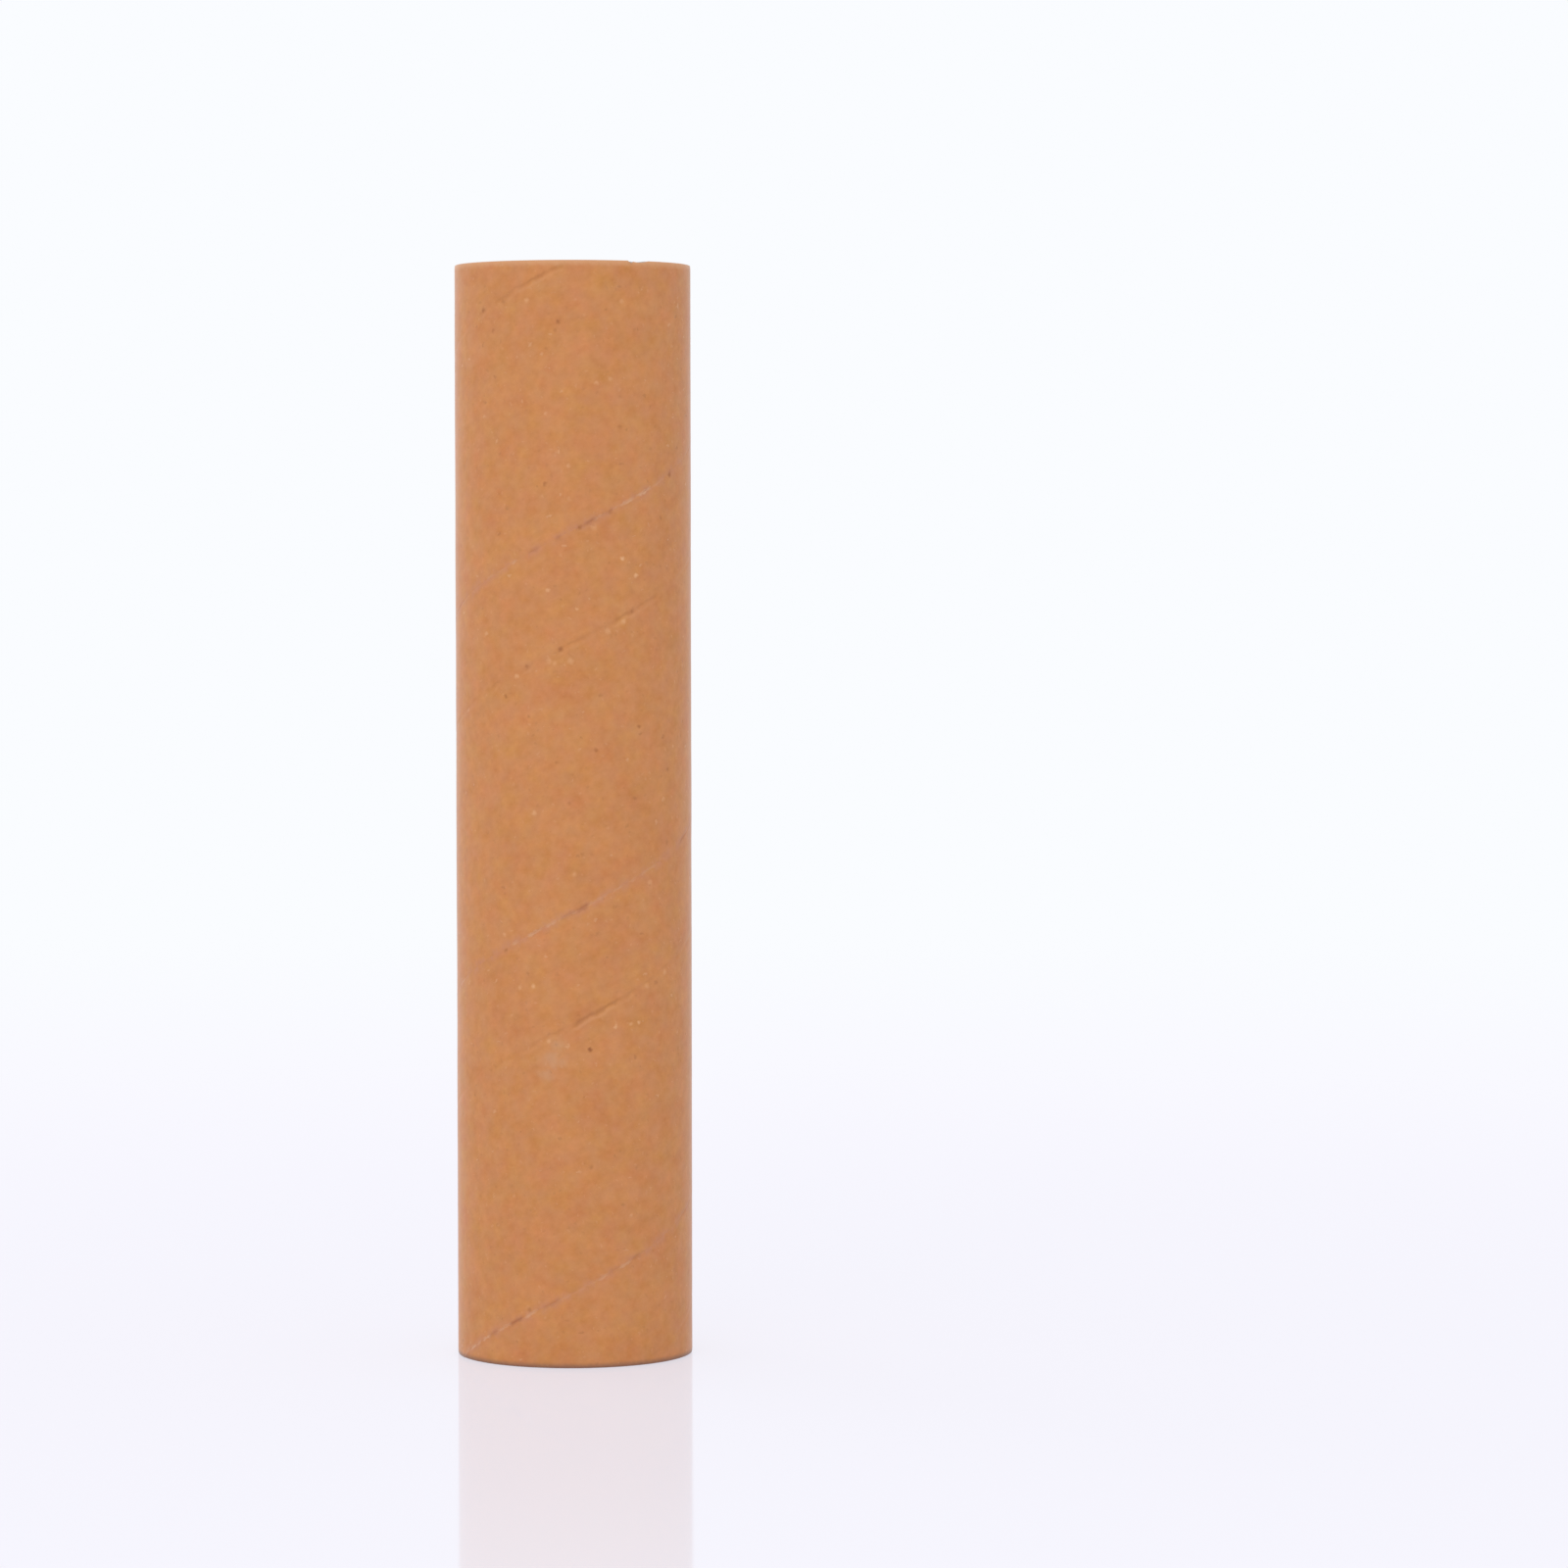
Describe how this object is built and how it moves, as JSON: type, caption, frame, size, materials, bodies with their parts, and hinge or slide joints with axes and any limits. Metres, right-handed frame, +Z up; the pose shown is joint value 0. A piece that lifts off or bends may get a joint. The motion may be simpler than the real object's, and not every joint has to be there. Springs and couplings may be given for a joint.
{
  "type": "cardboard mailing tube",
  "caption": "Spiral-wound cardboard mailing tube, open at both ends, for posting and storing rolled papers.",
  "frame": {"origin": "centre of the foot end, on the surface that the tube stands on", "axes": "+Z up the tube's axis, -Y towards the viewer, +X to the viewer's right"},
  "size_m": [0.054, 0.054, 0.25],
  "materials": {
    "kraft_wrap": "matte",
    "grey_board": "matte",
    "kraft_liner": "matte"
  },
  "bodies": {
    "root": {"outer_wrap": "kraft_wrap", "board_core": "grey_board", "inner_liner": "kraft_liner"}
  },
  "joints": []
}
